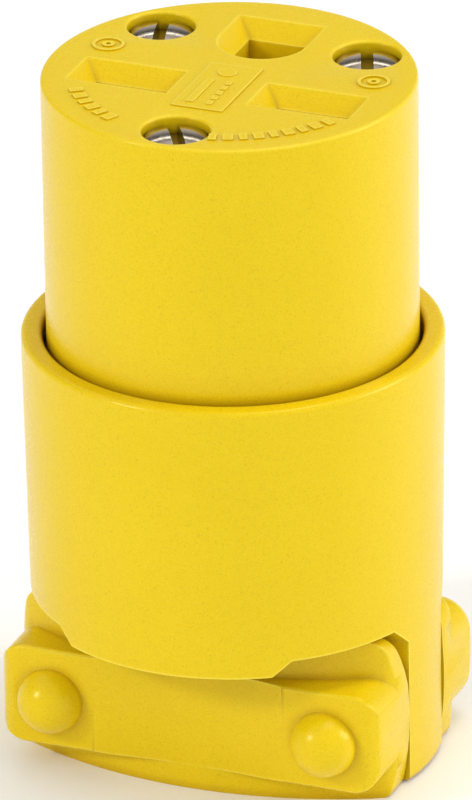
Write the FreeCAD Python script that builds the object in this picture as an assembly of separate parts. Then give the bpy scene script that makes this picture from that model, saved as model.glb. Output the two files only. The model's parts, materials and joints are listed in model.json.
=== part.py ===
import FreeCAD, Part
import math
import os

# A round female cord connector: a front body with three sockets sits in a sleeve, three long
# screws hold the two together, and two jaws at the sleeve's foot are drawn together on the cord.
# Millimetres. X runs along the two tandem line slots, +Y points from them to the ground socket,
# +Z runs up to the socket face. The origin is the centre of the foot.

V = FreeCAD.Vector

# --- overall heights and radii ---
FACE_Z = 68.7              # socket face
BODY_R = 17.67             # front body, inside the sleeve
BODY_TOP_R = 17.78         # front body at the socket face
BODY_FLOOR_Z = 30.5        # open back of the front body
FACE_EDGE_R = 0.3          # small radius round the face
SLEEVE_TOP_Z = 42.9
SLEEVE_TOP_R = 20.1
SLEEVE_LOW_R = 19.6
SLEEVE_EDGE_Z = 15.2       # lower edge between the columns
SLEEVE_BORE_R = 18.05
SLEEVE_LOW_BORE_R = 17.9
SLEEVE_RIM_R = 0.5
LEDGE_Z = 24.5             # the rear insulator rests on this ledge
LEDGE_THICK = 2.0
LEDGE_BORE_R = 15.6
INSULATOR_R = 17.6
FIT_GAP = 0.05             # between faces that rest on each other
FAR = 25.0                 # beyond every piece, for the cutters that run right through
OVER = 0.2                 # how far a cutter passes the face that it opens

# --- sockets in the face ---
LINE_X = 9.12
LINE_Y = -3.11
LINE_FUNNEL = (10.25, 5.49)
LINE_SLOT = (7.1, 2.1)
FUNNEL_DEPTH = 1.7
GROUND_Y = 8.8
GROUND_FUNNEL_W = 8.72
GROUND_FUNNEL_FLAT_Y = 13.8
GROUND_FUNNEL_ARC_Y = 8.7
GROUND_SLOT_W = 5.6
GROUND_SLOT_FLAT_Y = 12.2
GROUND_SLOT_ARC_Y = 8.9
SOCKET_CEILING_Z = 63.5    # top of the contact chambers
LINE_CHAMBER = (7.5, 5.0)
GROUND_CHAMBER_HALF_W = 4.0
GROUND_CHAMBER_Y = (5.9, 12.4)

# --- raised marks on the face: (width, height above the face) ---
MARK_SINK = 0.3            # how far every mark reaches into the body
MARK_H = 0.16
PLATE_HALF = (2.6, 5.3)
PLATE_H = 0.13
BAR_H = 0.25
SHORT_BARS = 5
SHORT_BAR_X = (0.55, 1.15)
SHORT_BAR_PITCH = 1.2
SHORT_BAR_FIRST_Y = -3.9   # from the middle of the plate
SHORT_BAR_HALF_LENGTH = 0.42
LONG_BAR_X = (-1.5, -0.7)
LONG_BAR_Y = (-4.3, 1.3)
DISC_R = 0.95
DISC_AT = (-0.2, 3.3)
TICK_ROWS = ((214.0, 6), (285.5, 9))
TICK_RADIUS = 14.7
TICK_PITCH_DEG = 5.6
TICK_WIDTH = 1.3
TICK_LENGTHS = (0.75, 1.0)
RINGS_AT = ((-13.4, 2.9), (13.4, 3.0))
RING_SIZES = ((1.55, 0.32), (0.6, 0.35))

# --- assembly screws, 6-32 ---
SCREW_R = 1.75
THREAD_BORE_R = 1.80       # running clearance on the plain shank
CLEAR_BORE_R = 1.90
ASSEMBLY_AT = ((-10.43, 8.91), (10.43, 8.91), (0.0, -13.55))
ASSEMBLY_SLOT_DEG = (104.0, 112.0, 121.0)
ASSEMBLY_HEAD_R = 2.9
ASSEMBLY_HEAD_H = 3.1
ASSEMBLY_CROWN = 0.5
ASSEMBLY_SEAT_Z = 65.3
ASSEMBLY_LENGTH = 47.6
COUNTERBORE_R = 3.25
COUNTERBORE_RIM = 0.25
BOSS_R = 3.4
BOSS_FOOT_Z = 17.2
DRIVE_SLOT_W = 1.2
DRIVE_SLOT_DEPTH = 1.3
HEAD_CROWN = 0.35
SCREW_POINT = 0.5

# --- contacts and their terminals ---
STRIP = 0.8
PAD_THICK = 1.0
PAD_HALF_W = 3.4
PAD_LOW_Z = 30.7
PAD_TOP_Z = 40.2
TERMINAL_Z = 36.0
FORK_FLOOR_Z = 41.0
LINE_CONTACT_HALF_W = 3.2
LINE_PAD_X = 10.4          # inner face of the line terminal pads
GROUND_PAD_Y = 11.0        # inner face of the ground terminal pad
PRESSURE_PLATE_THICK = 0.9
PRESSURE_PLATE_HALF_W = 3.3
PRESSURE_PLATE_CORNER_R = 0.8
PAD_CORNER_R = 1.0
FORK_SPREAD = ((0.9, 41.0), (1.15, 50.0), (0.62, 57.5), (1.45, 61.8))
GROUND_SPREAD = ((2.45, 41.0), (2.6, 50.0), (2.2, 57.5), (3.0, 61.8))
GROUND_CONTACT_HALF_W = 2.3
NECK_HALF_W = 1.7
TERMINAL_HEAD_R = 3.0
TERMINAL_HEAD_H = 2.1
TERMINAL_SHANK = 5.5
TERMINAL_SLOT_DEG = (35.0, 75.0, 115.0)
POCKET_TOP_Z = 41.5
POCKET_HALF_W = 4.7
POCKET_BEHIND_PAD = 0.5

# --- rear insulator ---
WIRE_HOLE_R = 2.2
WIRE_HOLES_AT = ((-13.3, LINE_Y), (13.3, LINE_Y), (0, 13.9))
CORD_RECESS_R = 5.5
CORD_RECESS_DEPTH = 2.0

# --- columns and notches at the foot of the sleeve ---
COLUMN_HALF_Y = 4.2
COLUMN_FOOT_Z = 0.2
COLUMN_PAD_X = 16.65       # flat inner face of a column
NOTCH_Z = 16.7
NOTCH_X = (10.2, 11.8)     # the notch's slanted end
NOTCH_CORNER = (6.4, 14.8) # y and z where the corner at a column starts and ends
RIB_X = 15.4
RIB_Z = (12.0, 13.6)
RIB_ROOM = 0.15            # between a rib and the groove for it in the jaws
GUSSET_HALF_W = 1.2

# --- jaws ---
JAW_MATE_Y = 0.25          # half the gap between the closed jaws
JAW_EAR_Y = 4.6            # back of the ears, beside the columns
JAW_INNER_X = 16.4
JAW_BELLY_Y = 12.4         # middle of the bowed front
JAW_BOW_R = 40.0
JAW_END_X = 19.3
JAW_BAR_Y = 13.1           # flat front of the ear bar
JAW_BAR_LOW_Z = (2.45, 1.6)        # front jaw, rear jaw
JAW_BAR_TOP_Z = (12.6, 12.1)
JAW_BAR_CORNER_R = (2.6, 3.2)
JAW_BAR_EDGE_R = (0.4, 1.8)
JAW_BAR_PLAN_R = 1.8
JAW_HORN_Z = (16.4, 14.1)
JAW_HORN_R = 2.3
JAW_FOOT_R = 0.7
JAW_PLAN_R = 2.3
JAW_SIDE = ((18.5, 0.0), (19.3, 7.2), (18.1, 16.4))    # barrel-shaped end, x and z
JAW_CORNER = ((7.0, 16.4), (5.35, 13.4), (4.6, 10.4))  # where a horn curves back, y and z
JAW_SADDLE_HALF_W = 10.0
JAW_MID_TOP_Z = 14.8
DOME_X = 13.94
DOME_Z = 7.32
DOME_R = 3.23
CLAMP_HEAD_R = 3.3
CLAMP_HEAD_H = 2.1
CLAMP_SEAT_Y = 10.7
CLAMP_LENGTH = 24.9
CLAMP_SLOT_DEG = (100.0, 40.0)
CLAMP_COUNTERBORE_R = 3.6
BLIND_BORE_Y = 14.6
NUT_ACROSS = 6.4
NUT_THICK = 2.4
NUT_MID_Y = 6.55
NUT_CORNER_R = 0.5
NUT_ROOM = 0.1
CORD_R = 5.0
CORD_FLARE = 3.0
CORD_FLARE_START = 2.0
GROOVES_Z = (5.2, 8.0, 10.8)
GROOVE_DEPTH = 0.6
CORD_FLAT_DEG = 50.0       # where the round of the cord channel turns into its slanted sides


def box(x0, x1, y0, y1, z0, z1):
    return Part.makeBox(x1 - x0, y1 - y0, z1 - z0, V(x0, y0, z0))


def rod(radius, start, end):
    run = V(*end) - V(*start)
    return Part.makeCylinder(radius, run.Length, V(*start), run)


def prism(points, run):
    corners = [V(*p) for p in points]
    return Part.Face(Part.makePolygon(corners + corners[:1])).extrude(V(*run))


def turned(edges):
    return Part.Face(Part.Wire(edges)).revolve(V(0, 0, 0), V(0, 0, 1), 360)


def rz_line(a, b):
    return Part.LineSegment(V(a[0], 0, a[1]), V(b[0], 0, b[1])).toShape()


def rz_arc(a, middle, b):
    return Part.Arc(V(a[0], 0, a[1]), V(middle[0], 0, middle[1]), V(b[0], 0, b[1])).toShape()


def fused(shapes):
    whole = shapes[0]
    for shape in shapes[1:]:
        whole = whole.fuse(shape)
    return whole.removeSplitter()


def mirrored_x(shape):
    return shape.mirror(V(0, 0, 0), V(1, 0, 0))


def mirrored_y(shape):
    return shape.mirror(V(0, 0, 0), V(0, 1, 0))


def rounded(shape, radius, picks):
    edges = [edge for edge in shape.Edges if picks(edge.BoundBox)]
    return shape.makeFillet(radius, edges)


# --- sleeve ---

def sleeve_wall():
    rim = SLEEVE_RIM_R
    bend = rim * (1 - math.sqrt(0.5))
    foot, top = COLUMN_FOOT_Z, SLEEVE_TOP_Z
    low, high = SLEEVE_LOW_R, SLEEVE_TOP_R
    lip = SLEEVE_BORE_R + rim
    edges = [
        rz_line((0, foot), (low - rim, foot)),
        rz_arc((low - rim, foot), (low - bend, foot + bend), (low, foot + rim)),
        rz_line((low, foot + rim), (low, SLEEVE_EDGE_Z)),
        rz_line((low, SLEEVE_EDGE_Z), (high, top - rim)),
        rz_arc((high, top - rim), (high - bend, top - bend), (high - rim, top)),
        rz_line((high - rim, top), (lip, top)),
        rz_arc((lip, top), (lip - rim + bend, top - bend), (SLEEVE_BORE_R, top - rim)),
        rz_line((SLEEVE_BORE_R, top - rim), (SLEEVE_BORE_R, LEDGE_Z)),
        rz_line((SLEEVE_BORE_R, LEDGE_Z), (LEDGE_BORE_R, LEDGE_Z)),
        rz_line((LEDGE_BORE_R, LEDGE_Z), (LEDGE_BORE_R, LEDGE_Z - LEDGE_THICK)),
        rz_line((LEDGE_BORE_R, LEDGE_Z - LEDGE_THICK), (0, LEDGE_Z - LEDGE_THICK)),
        rz_line((0, LEDGE_Z - LEDGE_THICK), (0, foot)),
    ]
    wall = turned(edges)
    hollow = rod(SLEEVE_LOW_BORE_R, (0, 0, -1), (0, 0, LEDGE_Z - LEDGE_THICK))
    for side in (-1, 1):
        inner, outer = sorted((side * COLUMN_PAD_X, side * SLEEVE_LOW_R))
        pad = box(inner, outer, -COLUMN_HALF_Y, COLUMN_HALF_Y, -1, LEDGE_Z)
        hollow = hollow.cut(pad)
    return wall.cut(hollow)


def foot_opening():
    """What is cut away in front of the columns: the plain edge, and the deeper notch with its slants."""
    reach, low = FAR, -1.0
    edge = box(-reach, reach, -reach, -COLUMN_HALF_Y, low, SLEEVE_EDGE_Z)
    corner_y, corner_z = NOTCH_CORNER
    seen_from_front = [
        (NOTCH_X[0], 0, SLEEVE_EDGE_Z), (NOTCH_X[1], 0, NOTCH_Z), (reach, 0, NOTCH_Z),
        (reach, 0, low), (NOTCH_X[0], 0, low),
    ]
    seen_from_side = [
        (0, -reach, low), (0, -reach, NOTCH_Z), (0, -corner_y, NOTCH_Z),
        (0, -COLUMN_HALF_Y, corner_z), (0, -COLUMN_HALF_Y, low),
    ]
    notch = prism(seen_from_front, (0, -reach, 0)).common(prism(seen_from_side, (reach, 0, 0)))
    edge = edge.cut(box(-reach, reach, -corner_y, -COLUMN_HALF_Y, corner_z, NOTCH_Z))
    return fused([edge, notch, mirrored_x(notch)])


def sleeve():
    shape = sleeve_wall()
    opening = foot_opening()
    shape = shape.cut(opening).cut(mirrored_y(opening))
    parts = [shape]
    for x, y in ASSEMBLY_AT:
        length = math.hypot(x, y)
        boss = rod(BOSS_R, (x, y, BOSS_FOOT_Z), (x, y, LEDGE_Z))
        gusset = box(length, SLEEVE_LOW_BORE_R + 0.5, -GUSSET_HALF_W, GUSSET_HALF_W, BOSS_FOOT_Z, LEDGE_Z)
        gusset.rotate(V(0, 0, 0), V(0, 0, 1), math.degrees(math.atan2(y, x)))
        parts += [boss, gusset]
    for side in (-1, 1):
        inner, outer = sorted((side * RIB_X, side * (COLUMN_PAD_X + 0.3)))
        parts.append(box(inner, outer, -COLUMN_HALF_Y, COLUMN_HALF_Y, *RIB_Z))
    shape = fused(parts)
    for x, y in ASSEMBLY_AT:
        shape = shape.cut(rod(THREAD_BORE_R, (x, y, 0), (x, y, LEDGE_Z + 1)))
    return shape


# --- front body ---

def rectangle(cx, cy, size, z):
    half_x, half_y = size[0] / 2, size[1] / 2
    corners = [V(cx + sx * half_x, cy + sy * half_y, z) for sx, sy in ((-1, -1), (1, -1), (1, 1), (-1, 1))]
    return Part.makePolygon(corners + corners[:1])


def tombstone(width, flat_y, arc_y, z):
    """An outline with a flat far side, straight flanks and a half round towards the centre."""
    half = width / 2
    flank = [V(half, arc_y, z), V(half, flat_y, z), V(-half, flat_y, z), V(-half, arc_y, z)]
    edges = [Part.LineSegment(a, b).toShape() for a, b in zip(flank, flank[1:])]
    edges.append(Part.Arc(flank[3], V(0, arc_y - half, z), flank[0]).toShape())
    return Part.Wire(edges)


def line_socket(side):
    cx = side * LINE_X
    grow = OVER / FUNNEL_DEPTH
    mouth = [m + (m - s) * grow for m, s in zip(LINE_FUNNEL, LINE_SLOT)]
    funnel = Part.makeLoft([
        rectangle(cx, LINE_Y, mouth, FACE_Z + OVER),
        rectangle(cx, LINE_Y, LINE_SLOT, FACE_Z - FUNNEL_DEPTH),
    ], True, True)
    half_x, half_y = LINE_SLOT[0] / 2, LINE_SLOT[1] / 2
    slot = box(cx - half_x, cx + half_x, LINE_Y - half_y, LINE_Y + half_y, SOCKET_CEILING_Z - 1, FACE_Z - 1)
    half_x, half_y = LINE_CHAMBER[0] / 2, LINE_CHAMBER[1] / 2
    low = BODY_FLOOR_Z - 1
    chamber = box(cx - half_x, cx + half_x, LINE_Y - half_y, LINE_Y + half_y, low, SOCKET_CEILING_Z)
    return fused([funnel, slot, chamber])


def ground_socket():
    grow = OVER / FUNNEL_DEPTH
    wide = GROUND_FUNNEL_W + (GROUND_FUNNEL_W - GROUND_SLOT_W) * grow
    flat = GROUND_FUNNEL_FLAT_Y + (GROUND_FUNNEL_FLAT_Y - GROUND_SLOT_FLAT_Y) * grow
    funnel = Part.makeLoft([
        tombstone(wide, flat, GROUND_FUNNEL_ARC_Y, FACE_Z + OVER),
        tombstone(GROUND_SLOT_W, GROUND_SLOT_FLAT_Y, GROUND_SLOT_ARC_Y, FACE_Z - FUNNEL_DEPTH),
    ], True, True)
    outline = tombstone(GROUND_SLOT_W, GROUND_SLOT_FLAT_Y, GROUND_SLOT_ARC_Y, SOCKET_CEILING_Z - 1)
    slot = Part.Face(outline).extrude(V(0, 0, FACE_Z - SOCKET_CEILING_Z))
    half = GROUND_CHAMBER_HALF_W
    chamber = box(-half, half, *GROUND_CHAMBER_Y, BODY_FLOOR_Z - 1, SOCKET_CEILING_Z)
    return fused([funnel, slot, chamber])


def terminal_pockets():
    low, reach, half = BODY_FLOOR_Z - 1, BODY_R + 1, POCKET_HALF_W
    line_x = LINE_PAD_X - POCKET_BEHIND_PAD
    ground_y = GROUND_PAD_Y - POCKET_BEHIND_PAD
    line = box(line_x, reach, LINE_Y - half, LINE_Y + half, low, POCKET_TOP_Z)
    ground = box(-half, half, ground_y, reach, low, POCKET_TOP_Z)
    return [line, mirrored_x(line), ground]


def screw_hole(x, y):
    rim, half = COUNTERBORE_RIM, COUNTERBORE_R
    bend = rim * (1 - math.sqrt(0.5))
    top = FACE_Z
    seat = ASSEMBLY_SEAT_Z
    edges = [
        rz_line((0, seat), (half, seat)),
        rz_line((half, seat), (half, top - rim)),
        rz_arc((half, top - rim), (half + bend, top - bend), (half + rim, top)),
        rz_line((half + rim, top), (half + rim, top + 1)),
        rz_line((half + rim, top + 1), (0, top + 1)),
        rz_line((0, top + 1), (0, seat)),
    ]
    hole = turned(edges)
    hole.translate(V(x, y, 0))
    return hole.fuse(rod(CLEAR_BORE_R, (x, y, BODY_FLOOR_Z - 1), (x, y, seat + 0.5)))


def raised(x0, x1, y0, y1, height):
    return box(x0, x1, y0, y1, FACE_Z - MARK_SINK, FACE_Z + height)


def ring(x, y, radius, width):
    base, top = (x, y, FACE_Z - MARK_SINK), (x, y, FACE_Z + MARK_H)
    return rod(radius, base, top).cut(rod(radius - width, base, top))


def face_marks():
    """Plain raised marks in place of lettering: a plate with bars, two rings and two rows of ticks."""
    half_x, half_y = PLATE_HALF
    marks = [raised(-half_x, half_x, LINE_Y - half_y, LINE_Y + half_y, PLATE_H)]
    for step in range(SHORT_BARS):
        middle = LINE_Y + SHORT_BAR_FIRST_Y + SHORT_BAR_PITCH * step
        low, high = middle - SHORT_BAR_HALF_LENGTH, middle + SHORT_BAR_HALF_LENGTH
        marks.append(raised(*SHORT_BAR_X, low, high, BAR_H))
    marks.append(raised(*LONG_BAR_X, *(LINE_Y + y for y in LONG_BAR_Y), BAR_H))
    disc_x, disc_y = DISC_AT
    marks.append(rod(DISC_R, (disc_x, LINE_Y + disc_y, FACE_Z), (disc_x, LINE_Y + disc_y, FACE_Z + BAR_H)))
    for start, count in TICK_ROWS:
        for step in range(count):
            half_length = TICK_LENGTHS[step % 2] / 2
            inner, outer = TICK_RADIUS - TICK_WIDTH / 2, TICK_RADIUS + TICK_WIDTH / 2
            tick = raised(inner, outer, -half_length, half_length, MARK_H)
            tick.rotate(V(0, 0, 0), V(0, 0, 1), start + TICK_PITCH_DEG * step)
            marks.append(tick)
    for x, y in RINGS_AT:
        marks += [ring(x, y, radius, width) for radius, width in RING_SIZES]
    return marks


def front_body():
    edge, top_r = FACE_EDGE_R, BODY_TOP_R
    bend = edge * (1 - math.sqrt(0.5))
    edges = [
        rz_line((0, BODY_FLOOR_Z), (BODY_R, BODY_FLOOR_Z)),
        rz_line((BODY_R, BODY_FLOOR_Z), (BODY_R, SLEEVE_TOP_Z)),
        rz_line((BODY_R, SLEEVE_TOP_Z), (top_r, FACE_Z - edge)),
        rz_arc((top_r, FACE_Z - edge), (top_r - bend, FACE_Z - bend), (top_r - edge, FACE_Z)),
        rz_line((top_r - edge, FACE_Z), (0, FACE_Z)),
        rz_line((0, FACE_Z), (0, BODY_FLOOR_Z)),
    ]
    shape = fused([turned(edges)] + face_marks())
    hollows = [line_socket(-1), line_socket(1), ground_socket()] + terminal_pockets()
    hollows += [screw_hole(x, y) for x, y in ASSEMBLY_AT]
    for hollow in hollows:
        shape = shape.cut(hollow)
    return shape


def rear_insulator():
    low = LEDGE_Z + FIT_GAP
    high = BODY_FLOOR_Z - FIT_GAP
    shape = rod(INSULATOR_R, (0, 0, low), (0, 0, high))
    for x, y in ASSEMBLY_AT:
        shape = shape.cut(rod(CLEAR_BORE_R, (x, y, low - 1), (x, y, high + 1)))
    for x, y in WIRE_HOLES_AT:
        shape = shape.cut(rod(WIRE_HOLE_R, (x, y, low - 1), (x, y, high + 1)))
    return shape.cut(rod(CORD_RECESS_R, (0, 0, low - 1), (0, 0, low + CORD_RECESS_DEPTH)))


# --- contacts ---

def leaf(spread, side):
    """One spring leaf seen edge on: up its inner side and down its outer side, as (offset, z)."""
    inner = [(side * offset, z) for offset, z in spread]
    outer = [(side * (offset + STRIP), z) for offset, z in reversed(spread)]
    return inner + outer


def line_contact():
    """Right-hand line contact; the left one is its mirror image."""
    x0, x1 = LINE_X - LINE_CONTACT_HALF_W, LINE_X + LINE_CONTACT_HALF_W
    parts = []
    for side in (-1, 1):
        outline = [(x0, LINE_Y + offset, z) for offset, z in leaf(FORK_SPREAD, side)]
        parts.append(prism(outline, (x1 - x0, 0, 0)))
    web = FORK_SPREAD[0][0] + STRIP
    top = FORK_FLOOR_Z + STRIP
    parts.append(box(x0, x1, LINE_Y - web, LINE_Y + web, FORK_FLOOR_Z, top))
    px = LINE_PAD_X
    parts.append(box(px, px + PAD_THICK, LINE_Y - NECK_HALF_W, LINE_Y + NECK_HALF_W, PAD_TOP_Z - 1, top))
    pad = box(px, px + PAD_THICK, LINE_Y - PAD_HALF_W, LINE_Y + PAD_HALF_W, PAD_LOW_Z, PAD_TOP_Z)
    parts.append(rounded(pad, PAD_CORNER_R, lambda b: b.YLength < 0.01 and b.ZLength < 0.01))
    bore = rod(THREAD_BORE_R, (px - 1, LINE_Y, TERMINAL_Z), (px + 2, LINE_Y, TERMINAL_Z))
    return fused(parts).cut(bore)


def ground_contact():
    y0, y1 = GROUND_Y - GROUND_CONTACT_HALF_W, GROUND_Y + GROUND_CONTACT_HALF_W
    parts = []
    for side in (-1, 1):
        outline = [(offset, y0, z) for offset, z in leaf(GROUND_SPREAD, side)]
        parts.append(prism(outline, (0, y1 - y0, 0)))
    web = GROUND_SPREAD[0][0] + STRIP
    top = FORK_FLOOR_Z + STRIP
    py = GROUND_PAD_Y
    parts.append(box(-web, web, y0, py + PAD_THICK, FORK_FLOOR_Z, top))
    parts.append(box(-NECK_HALF_W, NECK_HALF_W, py, py + PAD_THICK, PAD_TOP_Z - 1, top))
    pad = box(-PAD_HALF_W, PAD_HALF_W, py, py + PAD_THICK, PAD_LOW_Z, PAD_TOP_Z)
    parts.append(rounded(pad, PAD_CORNER_R, lambda b: b.XLength < 0.01 and b.ZLength < 0.01))
    bore = rod(THREAD_BORE_R, (0, py - 1, TERMINAL_Z), (0, py + 2, TERMINAL_Z))
    return fused(parts).cut(bore)


# --- screws, plates and nuts: each is drawn along +Z with its seat at the origin ---

def slotted_screw(head_r, head_h, crown, length, slot_degrees):
    """Domed slotted head over the seat, plain shank below it."""
    dome_r = (head_r ** 2 + crown ** 2) / (2 * crown)
    half_way = head_h - dome_r + math.sqrt(dome_r ** 2 - (head_r / 2) ** 2)
    edges = [
        rz_line((0, 0), (head_r, 0)),
        rz_line((head_r, 0), (head_r, head_h - crown)),
        rz_arc((head_r, head_h - crown), (head_r / 2, half_way), (0, head_h)),
        rz_line((0, head_h), (0, 0)),
    ]
    shank = [
        rz_line((0, -length), (SCREW_R - SCREW_POINT, -length)),
        rz_line((SCREW_R - SCREW_POINT, -length), (SCREW_R, -length + SCREW_POINT)),
        rz_line((SCREW_R, -length + SCREW_POINT), (SCREW_R, 0.2)),
        rz_line((SCREW_R, 0.2), (0, 0.2)),
        rz_line((0, 0.2), (0, -length)),
    ]
    shape = turned(edges).fuse(turned(shank)).removeSplitter()
    half = DRIVE_SLOT_W / 2
    slot = box(-half, half, -head_r - 1, head_r + 1, head_h - DRIVE_SLOT_DEPTH, head_h + 1)
    slot.rotate(V(0, 0, 0), V(0, 0, 1), slot_degrees - 90)
    return shape.cut(slot)


def set_along(shape, axis, at):
    """Turns a piece drawn along +Z to an axis and moves it to its place."""
    placed = shape.copy()
    placed.Placement = FreeCAD.Placement(V(*at), FreeCAD.Rotation(V(0, 0, 1), V(*axis)))
    return placed


def assembly_screw(number):
    x, y = ASSEMBLY_AT[number]
    head = (ASSEMBLY_HEAD_R, ASSEMBLY_HEAD_H, ASSEMBLY_CROWN)
    screw = slotted_screw(*head, ASSEMBLY_LENGTH, ASSEMBLY_SLOT_DEG[number])
    return set_along(screw, (0, 0, 1), (x, y, ASSEMBLY_SEAT_Z))


def terminal_places():
    """(axis pointing out of the body, point on the pad's outer face) for each terminal."""
    line = LINE_PAD_X + PAD_THICK
    ground = GROUND_PAD_Y + PAD_THICK
    return {
        "left": ((-1, 0, 0), (-line, LINE_Y, TERMINAL_Z)),
        "right": ((1, 0, 0), (line, LINE_Y, TERMINAL_Z)),
        "ground": ((0, 1, 0), (0, ground, TERMINAL_Z)),
    }


def outward(place, distance):
    axis, at = place
    return tuple(p + a * distance for p, a in zip(at, axis))


def pressure_plate(place):
    half = PRESSURE_PLATE_HALF_W
    plate = box(-half, half, -half, half, 0, PRESSURE_PLATE_THICK)
    plate = rounded(plate, PRESSURE_PLATE_CORNER_R, lambda b: b.XLength < 0.01 and b.YLength < 0.01)
    plate = plate.cut(rod(THREAD_BORE_R, (0, 0, -1), (0, 0, 2)))
    return set_along(plate, place[0], outward(place, FIT_GAP))


def terminal_screw(place, slot_degrees):
    screw = slotted_screw(TERMINAL_HEAD_R, TERMINAL_HEAD_H, HEAD_CROWN, TERMINAL_SHANK, slot_degrees)
    return set_along(screw, place[0], outward(place, PRESSURE_PLATE_THICK + 2 * FIT_GAP))


def clamp_screw(side, slot_degrees):
    screw = slotted_screw(CLAMP_HEAD_R, CLAMP_HEAD_H, HEAD_CROWN, CLAMP_LENGTH, slot_degrees)
    return set_along(screw, (0, 1, 0), (side * DOME_X, CLAMP_SEAT_Y, DOME_Z))


def clamp_nut(side):
    half, thick = NUT_ACROSS / 2, NUT_THICK / 2
    nut = box(-half, half, -NUT_MID_Y - thick, -NUT_MID_Y + thick, -half, half)
    nut = rounded(nut, NUT_CORNER_R, lambda b: b.XLength < 0.01 and b.ZLength < 0.01)
    nut = nut.cut(rod(THREAD_BORE_R, (0, -NUT_MID_Y - 2, 0), (0, -NUT_MID_Y + 2, 0)))
    nut.translate(V(side * DOME_X, 0, DOME_Z))
    return nut


# --- jaws, both drawn as the front one, whose outside faces -Y ---

def bow_y(x):
    return -JAW_BELLY_Y + JAW_BOW_R - math.sqrt(JAW_BOW_R ** 2 - x ** 2)


def jaw_plan(height):
    end, inner = JAW_END_X, JAW_INNER_X
    ear, mate = -JAW_EAR_Y, -JAW_MATE_Y
    corners = [
        (end, bow_y(end)), (end, ear), (inner, ear), (inner, mate),
        (-inner, mate), (-inner, ear), (-end, ear), (-end, bow_y(-end)),
    ]
    points = [V(x, y, 0) for x, y in corners]
    edges = [Part.LineSegment(a, b).toShape() for a, b in zip(points, points[1:])]
    edges.append(Part.Arc(points[-1], V(0, -JAW_BELLY_Y, 0), points[0]).toShape())
    block = Part.Face(Part.Wire(edges)).extrude(V(0, 0, height))
    return rounded(block, JAW_PLAN_R, lambda b: b.ZLength > 1 and b.YMin < ear - 1 and b.XLength < 0.01)


def jaw_front_view(horn_z):
    """Barrel-sided outline with two horns at the top, run through the jaw's depth."""
    slant = NOTCH_X[1] - NOTCH_X[0]
    horn_x = NOTCH_X[1] + 0.35
    right = [V(x, 0, z) for x, z in JAW_SIDE]
    left = [V(-p.x, 0, p.z) for p in right]
    top_z = JAW_SIDE[2][1]
    inside = [V(x, 0, z) for x, z in ((horn_x, top_z), (horn_x - slant, JAW_MID_TOP_Z))]
    across = [right[2]] + inside + [V(-p.x, 0, p.z) for p in reversed(inside)] + [left[2]]
    edges = [Part.LineSegment(a, b).toShape() for a, b in zip(across, across[1:])]
    edges.append(Part.Arc(*left).toShape())
    edges.append(Part.LineSegment(left[0], right[0]).toShape())
    edges.append(Part.Arc(*right).toShape())
    reach = FAR
    face = Part.Face(Part.Wire(Part.__sortEdges__(edges)))
    block = face.extrude(V(0, -reach, 0)).cut(box(-reach, reach, -reach, 1, horn_z, top_z + 1))
    block = rounded(block, JAW_FOOT_R, lambda b: b.YLength > 1 and b.ZMax < 0.01)
    return rounded(block, JAW_HORN_R, lambda b: b.YLength > 1 and b.ZMin > horn_z - 0.01 and abs(b.XMin) > 15)


def jaw_bar(outline, low, top, corner_r, edge_r):
    """The bar across the outside: flat at both ends, dished between them, every corner rounded."""
    end, front = JAW_END_X, -JAW_BAR_Y
    bar = box(-end, end, front, -JAW_EAR_Y - 1.5, low, top).common(outline)
    bar = rounded(bar, corner_r, lambda b: b.YLength > 1)
    bar = rounded(bar, edge_r, lambda b: b.YMax < front + 0.01)
    ends = box(-end, end, front, 0, low, top)
    bar = bar.common(rounded(ends, JAW_BAR_PLAN_R, lambda b: b.ZLength > 1 and b.YMax < front + 0.01))
    depth = JAW_BAR_Y - JAW_BELLY_Y
    dish_r = (JAW_SADDLE_HALF_W ** 2 + depth ** 2) / (2 * depth)
    axis_y = -JAW_BELLY_Y - dish_r
    return bar.cut(rod(dish_r, (0, axis_y, low - 1), (0, axis_y, top + 1)))


def cord_channel():
    """Half of the cord passage: a round crown with slanted sides, flared at both mouths."""
    angle = math.radians(CORD_FLAT_DEG)
    low, high = -1.0, JAW_MID_TOP_Z + 1
    x, y = CORD_R * math.cos(angle), CORD_R * math.sin(angle)
    foot = x + y * math.tan(angle)
    outline = [(foot, 0.5), (foot, 0), (x, -y), (-x, -y), (-foot, 0), (-foot, 0.5)]
    shapes = [prism([(px, py, low) for px, py in outline], (0, 0, high - low))]
    shapes.append(rod(CORD_R, (0, 0, low), (0, 0, high)))
    for z, run in ((0, -1), (JAW_MID_TOP_Z, 1)):
        start = V(0, 0, z - CORD_FLARE_START * run)
        shapes.append(Part.makeCone(CORD_R, CORD_R + CORD_FLARE, CORD_FLARE, start, V(0, 0, run)))
    half = GROOVE_DEPTH
    for z in GROOVES_Z:
        shapes.append(rod(CORD_R + GROOVE_DEPTH, (0, 0, z - half), (0, 0, z + half)))
    return fused(shapes)


def horn_back(side):
    """What is cut off behind a horn, so that it curves clear of the column's corner."""
    top, middle, foot = [V(side * (JAW_INNER_X - 1), -y, z) for y, z in JAW_CORNER]
    over = V(top.x, top.y, top.z + 2)
    corner = V(top.x, 1, over.z)
    below = V(top.x, 1, foot.z)
    lines = [foot, below, corner, over, top]
    edges = [Part.LineSegment(a, b).toShape() for a, b in zip(lines, lines[1:])]
    edges.append(Part.Arc(top, middle, foot).toShape())
    return Part.Face(Part.Wire(edges)).extrude(V(side * 8, 0, 0))


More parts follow.
